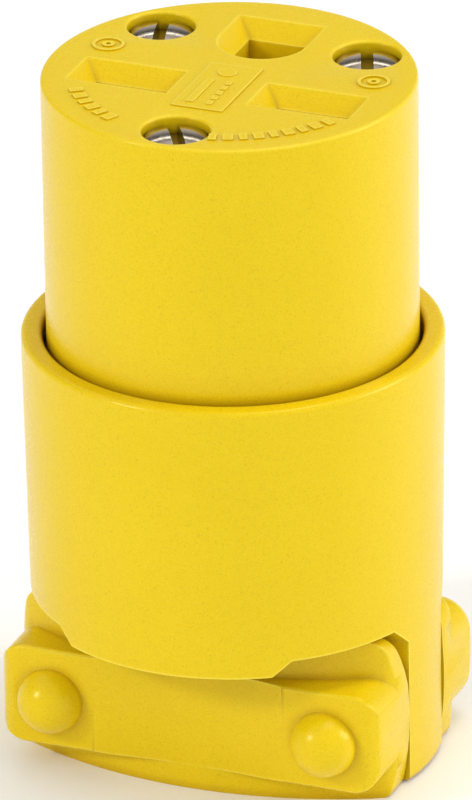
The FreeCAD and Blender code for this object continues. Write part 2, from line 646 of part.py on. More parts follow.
def jaw_blank(style):
    """style 0 is the front jaw, style 1 the rear one."""
    outline = jaw_front_view(JAW_HORN_Z[style])
    heights = JAW_BAR_LOW_Z[style], JAW_BAR_TOP_Z[style]
    bar = jaw_bar(outline, *heights, JAW_BAR_CORNER_R[style], JAW_BAR_EDGE_R[style])
    top = JAW_SIDE[2][1] + 1
    shape = jaw_plan(top).common(outline).fuse(bar).removeSplitter()
    behind = -JAW_EAR_Y
    reach = JAW_INNER_X + OVER
    # the middle stays below the sleeve
    shape = shape.cut(box(-reach, reach, behind, 1, JAW_MID_TOP_Z, top))
    for side in (-1, 1):
        horn_only = horn_back(side).common(box(-FAR, FAR, -FAR, behind, 0, top))
        shape = shape.cut(horn_only)
        inner, outer = sorted((side * (RIB_X - OVER), side * reach))
        shape = shape.cut(box(inner, outer, behind, 1, RIB_Z[0] - RIB_ROOM, RIB_Z[1] + RIB_ROOM))
    return shape.cut(cord_channel())


def nut_slot(x):
    """Open at the foot, so that the nut slides in from below."""
    half, thick = NUT_ACROSS / 2 + NUT_ROOM, NUT_THICK / 2 + NUT_ROOM
    return box(x - half, x + half, -NUT_MID_Y - thick, -NUT_MID_Y + thick, -1, DOME_Z + half)


def front_clamp():
    shape = jaw_blank(0)
    places = [side * DOME_X for side in (-1, 1)]
    for x in places:
        shape = shape.fuse(Part.makeSphere(DOME_R, V(x, -JAW_BAR_Y, DOME_Z)))
    shape = shape.removeSplitter()
    for x in places:
        shape = shape.cut(rod(CLEAR_BORE_R, (x, 1, DOME_Z), (x, -BLIND_BORE_Y, DOME_Z)))
        shape = shape.cut(nut_slot(x))
    return shape


def rear_clamp():
    shape = jaw_blank(1)
    for side in (-1, 1):
        x = side * DOME_X
        shape = shape.cut(rod(CLEAR_BORE_R, (x, 1, DOME_Z), (x, -20, DOME_Z)))
        shape = shape.cut(rod(CLAMP_COUNTERBORE_R, (x, -CLAMP_SEAT_Y, DOME_Z), (x, -20, DOME_Z)))
    return mirrored_y(shape)


def build():
    nodes = {
        "sleeve": sleeve(),
        "front_body": front_body(),
        "rear_insulator": rear_insulator(),
        "line_contact_right": line_contact(),
        "line_contact_left": mirrored_x(line_contact()),
        "ground_contact": ground_contact(),
        "front_clamp": front_clamp(),
        "rear_clamp": rear_clamp(),
    }
    for number in range(len(ASSEMBLY_AT)):
        nodes[f"assembly_screw_{number + 1}"] = assembly_screw(number)
    for turn, (name, place) in enumerate(terminal_places().items()):
        nodes[f"pressure_plate_{name}"] = pressure_plate(place)
        nodes[f"terminal_screw_{name}"] = terminal_screw(place, TERMINAL_SLOT_DEG[turn])
    for side, name, slot_degrees in zip((-1, 1), ("left", "right"), CLAMP_SLOT_DEG):
        nodes[f"clamp_screw_{name}"] = clamp_screw(side, slot_degrees)
        nodes[f"clamp_nut_{name}"] = clamp_nut(side)
    return nodes


os.makedirs("parts", exist_ok=True)
for node, solid in build().items():
    solid.exportStep(f"parts/{node}.step")
    print(f"{node}: {len(solid.Solids)} solid, {solid.Volume:.1f} mm3, valid {solid.isValid()}")
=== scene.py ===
# %% [markdown]
# # A yellow cord connector, cell by cell
# The object is a moulded cord connector: a round front body with three sockets, a wider sleeve that
# it sits in, two jaws at the foot that grip a cord, and steel screws that hold it all together.
# The engineering model is loaded first and never moved. Every cell after that builds one finished
# surface over it, or mixes one finish.

# %% Load the frame
import json
import math

import bmesh
import bpy
import numpy as np
from mathutils import Matrix, Vector


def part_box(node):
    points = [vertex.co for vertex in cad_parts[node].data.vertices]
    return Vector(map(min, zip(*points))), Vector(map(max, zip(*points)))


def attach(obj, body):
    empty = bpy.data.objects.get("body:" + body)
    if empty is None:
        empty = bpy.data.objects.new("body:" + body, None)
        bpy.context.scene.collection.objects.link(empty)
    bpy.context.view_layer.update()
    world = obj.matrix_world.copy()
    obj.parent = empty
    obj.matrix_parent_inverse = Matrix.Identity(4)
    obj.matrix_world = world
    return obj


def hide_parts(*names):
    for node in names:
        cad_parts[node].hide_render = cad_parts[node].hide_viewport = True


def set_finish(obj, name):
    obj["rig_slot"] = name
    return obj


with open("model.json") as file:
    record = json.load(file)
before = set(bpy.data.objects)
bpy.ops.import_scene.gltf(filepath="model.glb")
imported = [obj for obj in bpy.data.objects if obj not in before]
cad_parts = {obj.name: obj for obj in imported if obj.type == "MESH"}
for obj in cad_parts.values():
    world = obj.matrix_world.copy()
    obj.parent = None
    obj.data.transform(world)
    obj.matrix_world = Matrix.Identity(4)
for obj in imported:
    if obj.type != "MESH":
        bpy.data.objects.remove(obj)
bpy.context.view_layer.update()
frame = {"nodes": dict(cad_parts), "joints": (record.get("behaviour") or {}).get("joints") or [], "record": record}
nodes = frame["nodes"]

# %% [markdown]
# ## Measures
# A finished surface has to lie exactly over its engineering part, so places aren't typed again.
# They come from the frame: a screw's axis is where its joint turns, and the sockets are where their
# mounts stand. Only wall shapes are stated in this file, in millimetres, and `mm` makes them metres.

# %% Measures read from the frame
mm = 0.001
joint_at = {j["name"]: np.array(j["pos_m"]) / mm for j in frame["joints"] if "pos_m" in j}
joint_axis = {j["name"]: j["axis"] for j in frame["joints"]}
mount_at = {m["name"]: np.array(m["pos_m"]) / mm for m in frame["record"]["mounts"]}
slot_of = {part["node"]: part["material_slot"] for part in frame["record"]["subparts"]}
body_of = {node: body for body, held in frame["record"]["behaviour"]["bodies"].items()
           for node in held}


def span(node):
    """Lowest and highest corner of a node in millimetres."""
    low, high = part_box(node)
    return np.array(low) / mm, np.array(high) / mm


FACE_Z = mount_at["ground_socket"][2]
BODY_FLOOR_Z = span("front_body")[0][2]
SLEEVE_LOW_Z, SLEEVE_TOP_Z = span("sleeve")[0][2], span("sleeve")[1][2]
SLEEVE_R = span("sleeve")[1][0]
SCREW_AT = [joint_at[f"assembly_screw_{n}_turn"] for n in (1, 2, 3)]
print(f"face at {FACE_Z:.1f} mm, sleeve from {SLEEVE_LOW_Z:.1f} to {SLEEVE_TOP_Z:.1f} mm, "
      f"radius {SLEEVE_R:.2f} mm")

# %% [markdown]
# ## The camera
# It stands a little to the right and above, far away behind a long lens, so the tall round body
# hardly tapers. A Track To constraint could aim it, but then the small roll would need a second
# object. Three axes worked out from azimuth, height and roll give the whole turn at once.

# %% Camera
AZIMUTH, ELEVATION, ROLL = (math.radians(d) for d in (21.94, 24.48, -0.86))
DISTANCE_MM = 1606.5
LENS_MM = 769.9
AIM_RIGHT_MM, AIM_UP_MM = 0.64, -30.49      # where the lens looks, seen from the face's centre
CLIP_NEAR_M, CLIP_FAR_M = 0.1, 10


def direction(azimuth, elevation):
    """Unit vector for two angles in radians. Azimuth 0 is in front, and 90 degrees at the right."""
    return np.array([math.sin(azimuth) * math.cos(elevation),
                     -math.cos(azimuth) * math.cos(elevation), math.sin(elevation)])


def camera_axes():
    """Right, up and back: back from azimuth and elevation, then right and up turned by the roll."""
    back = direction(AZIMUTH, ELEVATION)
    right = np.array([math.cos(AZIMUTH), math.sin(AZIMUTH), 0.0])
    up = np.cross(back, right)
    c, s = math.cos(ROLL), math.sin(ROLL)
    return right * c + up * s, up * c - right * s, back


right, up, back = camera_axes()
camera = bpy.data.objects.new("camera", bpy.data.cameras.new("camera"))
bpy.context.scene.collection.objects.link(camera)
aim = np.array([0, 0, FACE_Z]) + right * AIM_RIGHT_MM + up * AIM_UP_MM
place = (aim + back * DISTANCE_MM) * mm
turn = np.eye(4)
turn[:3, 0], turn[:3, 1], turn[:3, 2], turn[:3, 3] = right, up, back, place
camera.matrix_world = Matrix(turn.tolist())
camera.data.lens = LENS_MM
camera.data.clip_start, camera.data.clip_end = CLIP_NEAR_M, CLIP_FAR_M
bpy.context.scene.camera = camera
print("camera at", place.round(3))

# %% [markdown]
# ## Outlines with round corners
# No moulded corner is truly sharp, because the cutter that makes the mould is round. A Bevel
# modifier could round corners later, but on an outline an arc can be worked out exactly, and every
# corner can have a radius of its own.

# %% Rounded outlines


def rectangle(x0, x1, y0, y1):
    return np.array([(x0, y0), (x1, y0), (x1, y1), (x0, y1)], float)


def rounded(corners, radii, steps=6, closed=True):
    """Replaces each corner by an arc. The arc touches both sides at radius x tan(half the turn)
    from the corner, and its centre lies on the corner's bisector, at radius / cos(half the turn)."""
    p = np.array(corners, float)
    radii = np.broadcast_to(radii, len(p))
    out = []
    for i, (corner, radius) in enumerate(zip(p, radii)):
        if radius == 0 or (not closed and i in (0, len(p) - 1)):
            out.append(corner[None])
            continue
        a = p[i - 1] - corner
        b = p[(i + 1) % len(p)] - corner
        a, b = a / np.linalg.norm(a), b / np.linalg.norm(b)
        half = (math.pi - math.acos(np.clip(a @ b, -1, 1))) / 2
        middle = (a + b) / np.linalg.norm(a + b)
        centre = corner + middle * radius / math.cos(half)
        side = a - (a @ middle) * middle
        side /= np.linalg.norm(side)
        t = np.linspace(half, -half, steps + 1)[:, None]
        out.append(centre + radius * (-middle * np.cos(t) + side * np.sin(t)))
    return np.concatenate(out)


print("a square with round corners has", len(rounded(rectangle(0, 1, 0, 1), 0.2)), "points")

# %% [markdown]
# ## Meshes from arrays
# A mesh is a list of points and a list of faces. Where the points lie in rows and columns, each
# face joins a point, its neighbour and the two behind them in the next row, so numpy can work out
# all of them at once. A primitive edited by hand would do for one piece, but not for twenty. A
# closed mesh whose faces look outwards has a positive volume, and that shows which way they face.

# %% Grids and meshes


def grid_faces(rows, columns, close_rows=False):
    """Four-cornered faces of a grid whose columns always close into rings."""
    r = np.arange(rows if close_rows else rows - 1)[:, None]
    c = np.arange(columns)[None, :]
    r2, c2 = (r + 1) % rows, (c + 1) % columns
    quads = np.stack([r * columns + c, r * columns + c2, r2 * columns + c2, r2 * columns + c], -1)
    return quads.reshape(-1, 4).tolist()


def end_faces(rows, columns):
    """The first and the last ring of a grid as two flat faces that look away from each other."""
    return [list(range(columns))[::-1], list(range((rows - 1) * columns, rows * columns))]


def signed_volume(mesh):
    """Volume by the divergence theorem: a sixth of the sum of each triangle's box product."""
    mesh.calc_loop_triangles()
    corners = np.zeros(len(mesh.loop_triangles) * 3, int)
    mesh.loop_triangles.foreach_get("vertices", corners)
    co = np.zeros(len(mesh.vertices) * 3)
    mesh.vertices.foreach_get("co", co)
    a, b, c = co.reshape(-1, 3)[corners.reshape(-1, 3)].transpose(1, 0, 2)
    return float((a * np.cross(b, c)).sum() / 6)


def mesh_object(name, points, faces):
    """A mesh from an array of points in millimetres and a list of faces, turned outwards."""
    mesh = bpy.data.meshes.new(name)
    mesh.from_pydata((np.asarray(points) * mm).tolist(), [], faces)
    mesh.validate()
    mesh.update()
    if signed_volume(mesh) < 0:
        mesh.flip_normals()
    thing = bpy.data.objects.new(name, mesh)
    bpy.context.scene.collection.objects.link(thing)
    return thing


print("a grid of 3 rows and 4 columns has", len(grid_faces(3, 4)), "faces")

# %% [markdown]
# ## Turned and stacked surfaces
# Nearly everything on a moulded connector is one of two surfaces. A *turned* surface carries a
# profile round an axis, as a lathe does. A *stacked* surface joins outlines that lie one above the
# other, which also gives slanted lead-ins. A Screw modifier could turn a profile too, but both
# kinds are grids, and so they share the few lines above.

# %% Turned and stacked surfaces


def ring_points(radius, z, steps, at=(0, 0)):
    """(r cos a, r sin a, z) for equal angles a, moved to `at`. radius and z may be arrays."""
    a = np.arange(steps) * 2 * np.pi / steps
    r, z = np.atleast_1d(radius)[:, None], np.atleast_1d(z)[:, None]
    return np.stack([r * np.cos(a) + at[0], r * np.sin(a) + at[1], z + 0 * a], -1)


def turned(name, profile, steps=192, at=(0, 0), closed=False):
    """A profile of (r, z) pairs turned about the vertical through `at`. An open profile gets a flat
    face at both ends, and a closed one makes a ring with an inside wall."""
    profile = np.asarray(profile, float)
    points = ring_points(profile[:, 0], profile[:, 1], steps, at)
    faces = grid_faces(len(profile), steps, closed)
    if not closed:
        faces += end_faces(len(profile), steps)
    return mesh_object(name, points.reshape(-1, 3), faces)


def stacked(name, outlines, heights):
    """Outlines with the same number of (x, y) points, one at each height, joined by straight sides."""
    levels = [np.column_stack([outline, np.full(len(outline), z)])
              for outline, z in zip(outlines, heights)]
    size = len(levels), len(levels[0])
    return mesh_object(name, np.concatenate(levels), grid_faces(*size) + end_faces(*size))


def block(name, x, y, z):
    return stacked(name, [rectangle(*x, *y)] * 2, z)


print("the third of 8 points round a circle is", ring_points(1.0, 0.0, 8)[0, 2].round(2))

# %% [markdown]
# ## Joining and cutting
# A mould adds and takes away whole volumes, and so does the Boolean modifier. The cutters are
# surfaces made with the tools above. Holes could be drawn face by face, with tidier quads, but a
# Boolean stays right when a measure changes. Afterwards one mesh is left and the cutters are gone.

# %% Booleans


def combined(base, others, how):
    """how is DIFFERENCE or UNION. Each other piece is used once and removed."""
    for other in others:
        step = base.modifiers.new("shape", "BOOLEAN")
        step.operation, step.solver, step.object = how, "EXACT", other
    graph = bpy.context.evaluated_depsgraph_get()
    shaped = bpy.data.meshes.new_from_object(base.evaluated_get(graph))
    base.modifiers.clear()
    base.data = shaped
    for other in others:
        bpy.data.objects.remove(other)
    return base


print("cuts and joins use Blender", bpy.app.version_string)

# %% [markdown]
# ## Small radii
# Every edge of moulded plastic has a small radius, and it catches a thin line of light. The Bevel
# modifier finds the edges by their angle, so they needn't be picked by hand, and a Boolean's messy
# outline doesn't matter to it. Its hardened normals keep the flat faces looking flat.

# %% Bevels, bodies and material slots
SHARP_DEGREES = 32


def smooth(piece):
    piece.data.polygons.foreach_set("use_smooth", np.ones(len(piece.data.polygons), bool))


def soften(piece, width, segments=3):
    """A radius of `width` millimetres on each edge sharper than SHARP_DEGREES."""
    smooth(piece)
    bevel = piece.modifiers.new("moulded radius", "BEVEL")
    bevel.width, bevel.segments = width * mm, segments
    bevel.limit_method, bevel.angle_limit = "ANGLE", math.radians(SHARP_DEGREES)
    bevel.miter_outer = "MITER_ARC"
    bevel.harden_normals = True
    bevel.use_clamp_overlap = True
    return piece


def finish_piece(piece, body, slot, *replaced):
    """Says which body the piece moves with, its material slot, and which nodes it stands for."""
    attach(piece, body)
    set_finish(piece, slot)
    if replaced:
        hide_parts(*replaced)
    print(f"{piece.name}: {len(piece.data.vertices)} points, rides on {body}")
    return piece


print("edges sharper than", SHARP_DEGREES, "degrees get a radius")

# %% [markdown]
# ## Line sockets
# Each line socket is a slanted lead-in, a straight slot, and a wider chamber for its contact. It
# could be three separate cutters, but as five rectangles stacked in height it is one, and no
# sliver is left between them. The lead-in runs on past the face at the same slant.

# %% Line socket cutter
SOCKET_CEILING_Z = 63.5
LEAD_IN = 1.7
LINE_X, LINE_Y = 9.12, mount_at["line_sockets"][1]
LINE_MOUTH, LINE_SLOT, LINE_CHAMBER = (10.25, 5.49), (7.1, 2.1), (7.5, 5.0)
OVER = 0.2                                   # cutters reach this far past the face
UNDER_Z = BODY_FLOOR_Z - 1                   # and start this low, below the body


def centred(size, at):
    (w, h), (x, y) = size, at
    return rectangle(x - w / 2, x + w / 2, y - h / 2, y + h / 2)


def line_cutter(side):
    grow = OVER / LEAD_IN
    mouth = [m + (m - s) * grow for m, s in zip(LINE_MOUTH, LINE_SLOT)]
    sizes = (LINE_CHAMBER, LINE_CHAMBER, LINE_SLOT, LINE_SLOT, mouth)
    heights = (UNDER_Z, SOCKET_CEILING_Z, SOCKET_CEILING_Z, FACE_Z - LEAD_IN, FACE_Z + OVER)
    return stacked("line_cutter", [centred(size, (side * LINE_X, LINE_Y)) for size in sizes], heights)


print("line slots are", LINE_SLOT, "mm, and", 2 * LINE_X, "mm apart")

# %% [markdown]
# ## Ground socket
# The ground pin's socket has a flat far side and a half-round near side, so that a plug can't go
# in the wrong way. A cylinder joined to a box would give that outline too. Here one outline is
# drawn and stacked, because the lead-in has the same shape, only wider.

# %% Ground socket cutter
GROUND_MOUTH, GROUND_SLOT = (8.72, 13.8, 8.7), (5.6, 12.2, 8.9)   # width, flat side's y, arc's y


def tombstone(width, flat_y, arc_y, steps=24):
    """A flat far side, straight flanks and a half circle of width / 2 round (0, arc_y)."""
    half = width / 2
    a = np.linspace(np.pi, 2 * np.pi, steps + 1)
    arc = np.column_stack([half * np.cos(a), arc_y + half * np.sin(a)])
    return np.concatenate([arc, [(half, flat_y), (-half, flat_y)]])


def ground_cutter():
    grow = 1 + OVER / LEAD_IN
    wide, flat = (s + (m - s) * grow for s, m in zip(GROUND_SLOT[:2], GROUND_MOUTH[:2]))
    slot = tombstone(*GROUND_SLOT)
    return stacked("ground_cutter", [slot, slot, tombstone(wide, flat, GROUND_MOUTH[2])],
                   (SOCKET_CEILING_Z - 1, FACE_Z - LEAD_IN, FACE_Z + OVER))


print("ground slot is", GROUND_SLOT[0], "mm wide")

# %% [markdown]
# ## Screw holes
# Three screws sit below the face, each in a flat-bottomed hole with a softly rounded rim. The rim
# could be left to the bevel, but it is rounder than the other edges, so the turned cutter carries
# it as a quarter circle.

# %% Screw hole cutter
HOLE_R, HOLE_RIM, HOLE_SEAT_Z, SHANK_HOLE_R = 3.25, 0.3, SCREW_AT[0][2], 1.9


def screw_hole_cutter(at):
    """Shank hole, flat seat, straight wall, and a quarter-round rim that opens to the face."""
    a = np.linspace(0, np.pi / 2, 7)
    rim = np.column_stack([HOLE_R + HOLE_RIM * (1 - np.cos(a)), FACE_Z - HOLE_RIM * (1 - np.sin(a))])
    foot = [(SHANK_HOLE_R, UNDER_Z), (SHANK_HOLE_R, HOLE_SEAT_Z), (HOLE_R, HOLE_SEAT_Z)]
    profile = np.concatenate([foot, rim, [(HOLE_R + HOLE_RIM, FACE_Z + 1)]])
    return turned("hole_cutter", profile, 96, at[:2])


print(f"screw heads sit {FACE_Z - HOLE_SEAT_Z:.2f} mm below the face")

# %% [markdown]
# ## Front body
# The body is a turned cylinder with a small radius round its face. A cylinder primitive would do,
# but this one widens by a tenth of a millimetre towards the face. The sockets, the screw holes and
# three wiring pockets in the lower wall are cut out of it.

# %% Front body shell
BODY_R, BODY_TOP_R, FACE_EDGE, FOOT_EDGE = 17.67, 17.78, 0.3, 0.2
POCKET_TOP_Z, POCKET_HALF, SIDE_POCKET_X, GROUND_POCKET_Y = 41.5, 4.7, 9.9, 10.5
GROUND_CHAMBER_X, GROUND_CHAMBER_Y = (-4.0, 4.0), (5.9, 12.4)


def front_body_shell():
    corners = [(BODY_R - 1, BODY_FLOOR_Z), (BODY_R, BODY_FLOOR_Z), (BODY_R, SLEEVE_TOP_Z),
               (BODY_TOP_R, FACE_Z), (BODY_R - 1, FACE_Z)]
    profile = rounded(corners, [0, FOOT_EDGE, 0, FACE_EDGE, 0], closed=False)
    shell = turned("front_body_shell", profile, 256)
    reach, height = BODY_R + 1, (UNDER_Z, POCKET_TOP_Z)
    beside = (LINE_Y - POCKET_HALF, LINE_Y + POCKET_HALF)
    pockets = [block("pocket", sorted((side * SIDE_POCKET_X, side * reach)), beside, height)
               for side in (-1, 1)]
    pockets.append(block("pocket", (-POCKET_HALF, POCKET_HALF), (GROUND_POCKET_Y, reach), height))
    chamber = block("chamber", GROUND_CHAMBER_X, GROUND_CHAMBER_Y, (UNDER_Z, SOCKET_CEILING_Z))
    cutters = [line_cutter(-1), line_cutter(1), ground_cutter(), chamber] + pockets
    cutters += [screw_hole_cutter(at) for at in SCREW_AT]
    combined(shell, cutters, "DIFFERENCE")
    return soften(shell, 0.14)


body_shell = finish_piece(front_body_shell(), "front_body", "yellow_shell", "front_body")

# %% [markdown]
# ## Raised marks on the face
# The real face carries raised lettering. Here plain bars, ticks and rings take its place. A text
# object or a bump texture could stand there, but low blocks with soft edges catch the light as real
# lettering does. They are a sixth of a millimetre high and are joined into one piece.

# %% Raised marks
SINK = 0.25                                  # how far a mark reaches into the face
PLATE_HEIGHT, SIGN_HEIGHT, EDGE_HEIGHT = 0.13, 0.25, 0.16
TICK_ROWS = ((214.0, 6), (285.5, 9))         # the first tick's angle in degrees, and how many
TICK_STEP_DEG, TICK_WIDTHS, TICK_RADII = 5.6, (0.75, 1.0), (14.05, 15.35)
RING_PLACES, RING_SIZES = ((-13.4, 2.9), (13.4, 3.0)), ((1.55, 0.32), (0.6, 0.35))


def moved(points, at, degrees=0.0):
    c, s = math.cos(math.radians(degrees)), math.sin(math.radians(degrees))
    return points @ np.array([[c, s], [-s, c]]) + at


def mark(outline, height):
    return stacked("mark", [outline, outline], (FACE_Z - SINK, FACE_Z + height))


def ring_mark(at, outer, width):
    inner, low, high = outer - width, FACE_Z - SINK, FACE_Z + EDGE_HEIGHT
    return turned("mark", [(inner, low), (outer, low), (outer, high), (inner, high)], 64, at,
                  closed=True)


def face_marks():
    plate_at = np.array([0, LINE_Y])
    marks = [mark(moved(rectangle(0.55, 1.15, y - 0.42, y + 0.42), plate_at), SIGN_HEIGHT)
             for y in -3.9 + 1.2 * np.arange(5)]
    marks.append(mark(moved(rectangle(-1.5, -0.7, -4.3, 1.3), plate_at), SIGN_HEIGHT))
    marks.append(turned("mark", [(0.95, FACE_Z - SINK), (0.95, FACE_Z + SIGN_HEIGHT)], 48,
                        plate_at + (-0.2, 3.3)))
    for start, count in TICK_ROWS:
        for step in range(count):
            half = TICK_WIDTHS[step % 2] / 2
            tick = moved(rectangle(*TICK_RADII, -half, half), (0, 0), start + TICK_STEP_DEG * step)
            marks.append(mark(tick, EDGE_HEIGHT))
    marks += [ring_mark(at, *size) for at in RING_PLACES for size in RING_SIZES]
    plate = mark(moved(rectangle(-2.6, 2.6, -5.3, 5.3), plate_at), PLATE_HEIGHT)
    plate.name = "face_marks"
    return soften(combined(plate, marks, "UNION"), 0.07)


marks = finish_piece(face_marks(), "front_body", "yellow_shell")

# %% [markdown]
# ## Sleeve
# The sleeve is a ring in section: outside wall, rounded lip, bore, a ledge inside for the
# insulator, and the lower bore. A Solidify modifier on a tube could give a wall, but not a ledge,
# so the whole section is turned. Then bosses and column pads are added, and the foot is opened in
# front of and behind the columns. The opening's corners slant, so its cutter shrinks with height.

# %% Openings of the foot
EDGE_Z, NOTCH_Z = 15.2, 16.7                 # height of the plain edge, and of the corner notches
COLUMN_HALF, OPENING_HALF = 4.2, 10.3
NOTCH_LEVELS = ((-1.0, 10.2, 4.2), (14.8, 10.2, 4.2), (EDGE_Z, 10.2, 4.66), (NOTCH_Z, 11.8, 6.4))
OUTSIDE = 25.0                               # cutters reach this far out


def opening_cutters(front):
    """Cutters for one side of the foot; front is -1 or 1. Each notch level is (z, x, y)."""
    cutters = []
    for side in (-1, 1):
        outlines = [rectangle(*sorted((side * x, side * OUTSIDE)), *sorted((front * y, front * OUTSIDE)))
                    for _, x, y in NOTCH_LEVELS]
        cutters.append(stacked("notch", outlines, [z for z, _, _ in NOTCH_LEVELS]))
    across = sorted((front * COLUMN_HALF, front * OUTSIDE))
    cutters.append(block("edge", (-OPENING_HALF, OPENING_HALF), across, (-1, EDGE_Z)))
    return cutters


print("the foot opens up to", NOTCH_Z, "mm")

# %% Sleeve shell
LOW_R, BORE_R, LOW_BORE_R, LEDGE_R = 19.6, 18.05, 17.9, 15.6
LEDGE_Z, LEDGE_LOW_Z = 24.5, 22.5
FOOT_RADIUS, LIP_RADIUS, BORE_RADIUS = 0.5, 0.55, 0.5
BOSS_R, BOSS_LOW_Z, GUSSET_HALF, PILOT_R = 3.4, 17.2, 1.2, 1.8
PAD_X, RIB_X, RIB_Z = (16.65, 18.4), (15.4, 17.0), (12.0, 13.6)


def sleeve_shell():
    corners = [(BORE_R, LEDGE_Z), (LEDGE_R, LEDGE_Z), (LEDGE_R, LEDGE_LOW_Z),
               (LOW_BORE_R, LEDGE_LOW_Z), (LOW_BORE_R, SLEEVE_LOW_Z), (LOW_R, SLEEVE_LOW_Z),
               (LOW_R, EDGE_Z), (SLEEVE_R, SLEEVE_TOP_Z), (BORE_R, SLEEVE_TOP_Z)]
    profile = rounded(corners, [0, 0, 0, 0, 0, FOOT_RADIUS, 0, LIP_RADIUS, BORE_RADIUS])
    shell = turned("sleeve_shell", profile, 256, closed=True)
    added = []
    for at in SCREW_AT:
        added.append(turned("boss", [(BOSS_R, BOSS_LOW_Z), (BOSS_R, LEDGE_Z)], 64, at[:2]))
        gusset = rectangle(math.hypot(at[0], at[1]), LOW_R - 1, -GUSSET_HALF, GUSSET_HALF)
        angle = math.degrees(math.atan2(at[1], at[0]))
        added.append(stacked("gusset", [moved(gusset, (0, 0), angle)] * 2, (BOSS_LOW_Z, LEDGE_Z)))
    for side in (-1, 1):
        width = (-COLUMN_HALF, COLUMN_HALF)
        added.append(block("pad", sorted(side * x for x in PAD_X), width, (SLEEVE_LOW_Z, LEDGE_Z)))
        added.append(block("rib", sorted(side * x for x in RIB_X), width, RIB_Z))
    combined(shell, added, "UNION")
    bores = [turned("bore", [(PILOT_R, 0), (PILOT_R, LEDGE_Z + 1)], 48, at[:2]) for at in SCREW_AT]
    combined(shell, opening_cutters(-1) + opening_cutters(1) + bores, "DIFFERENCE")
    return soften(shell, 0.18)


sleeve_piece = finish_piece(sleeve_shell(), "sleeve", "yellow_shell", "sleeve")

# %% [markdown]
# ## Jaws
# Two moulded jaws close round the cord. Their free shapes are already right in the engineering
# model, and drawing them again would only risk a mismatch, but their edges are too crisp. So a copy
# of each is welded into one skin, its flat facets are joined, and a small radius is laid on its
# edges.

# %% Jaw shells
WELD_MM, FLAT_DEGREES = 0.002, 0.5


def merged_copy(node, name):
    """A copy of a node's triangles as one welded skin with its flat areas dissolved."""
    work = bmesh.new()
    work.from_mesh(nodes[node].data)
    bmesh.ops.remove_doubles(work, verts=work.verts, dist=WELD_MM * mm)
    bmesh.ops.dissolve_limit(work, angle_limit=math.radians(FLAT_DEGREES), verts=work.verts,
                             edges=work.edges)
    mesh = bpy.data.meshes.new(name)
    work.to_mesh(mesh)
    work.free()
    piece = bpy.data.objects.new(name, mesh)
    bpy.context.scene.collection.objects.link(piece)
    return piece


front_jaw = finish_piece(soften(merged_copy("front_clamp", "front_jaw"), 0.18), "front_clamp",
                         "yellow_shell", "front_clamp")
rear_jaw = finish_piece(soften(merged_copy("rear_clamp", "rear_jaw"), 0.18), "rear_clamp",
                        "yellow_shell", "rear_clamp")

# %% [markdown]
# ## Stamped and moulded inner parts
# Brass contacts, pressure plates, square nuts and the rear insulator are hidden until the connector
# is opened. They are simple shapes with broken edges, so each is a welded copy like the jaws. The
# radius is narrower on the contacts: stamped strip is sharper than a moulding.

# %% Inner parts
SIDES = ("left", "right", "ground")
radius_of = {"rear_insulator": 0.15, "line_contact_left": 0.06, "line_contact_right": 0.06,
             "ground_contact": 0.06}
radius_of.update({f"pressure_plate_{side}": 0.09 for side in SIDES})
radius_of.update({f"clamp_nut_{side}": 0.15 for side in SIDES[:2]})

inner_pieces = []
for node, radius in radius_of.items():
    part = soften(merged_copy(node, node + "_part"), radius, 2)
    inner_pieces.append(finish_piece(part, body_of[node], slot_of[node], node))

# %% [markdown]
# ## Screw threads
# The shank's thread could be a Screw modifier on a small triangle, but its ends would need hand
# work. Here it is a grid, along the shank and round it. The radius depends on how far a point lies
# from one helix: height / pitch - angle / full turn, folded into a ridge with flat crest and root.

# %% Thread
PITCH, MAJOR_R, MINOR_R = 0.79375, 1.745, 1.30
TIP_INSET, NECK_TOP = 0.35, -0.2             # the chamfer at the tip, and the neck inside the head


def thread_points(low, high, per_turn=20, around=48):
    """r = minor + (major - minor) x ridge. The ridge is a triangle wave along the helix, stretched
    and clipped so that crest and root are flat, and it fades out over the first turn at each end."""
    rows = int((high - low) / PITCH * per_turn) + 1
    z = np.linspace(low, high, rows)[:, None]
    a = np.arange(around)[None, :] * 2 * np.pi / around
    phase = (z / PITCH - a / (2 * np.pi)) % 1.0
    ridge = np.clip(1.5 - 4 * np.abs(phase - 0.5), 0, 1)
    fade = np.clip((z - low) / PITCH, 0, 1) * np.clip((high - z) / PITCH, 0, 1)
    r = MINOR_R + (MAJOR_R - MINOR_R) * ridge * np.clip(fade * 1.5, 0, 1)
    return np.stack([r * np.cos(a), r * np.sin(a), z + 0 * a], -1)


def threaded_shank(length, thread_top):
    """A narrow tip, the threaded length, and a plain neck that ends inside the head."""
    points = thread_points(-length, thread_top)
    around = points.shape[1]
    neck = ring_points([MAJOR_R, MAJOR_R], [thread_top + 0.1, NECK_TOP], around)
    tip = ring_points([MINOR_R - TIP_INSET], [-length], around)
    stack = np.concatenate([tip, points, neck])
    size = len(stack), around
    return mesh_object("shank", stack.reshape(-1, 3), grid_faces(*size) + end_faces(*size))


print("thread of", PITCH, "mm pitch,", 2 * MAJOR_R, "mm across")

# %% [markdown]
# ## Screw heads
# A slotted head is a short cylinder with a slightly domed top and a slot across it. A sphere cut
# flat could give the dome, but an arc in the turned profile gives the exact height. The slot is
# deeper on the tall heads.

# %% Slotted heads
SLOT_HALF, TALL_HEAD, TALL_SLOT, LOW_SLOT, DOME_INNER_R = 0.6, 2.5, 1.3, 1.1, 0.4


def rotation(degrees):
    return Matrix.Rotation(math.radians(degrees), 4, "Z")


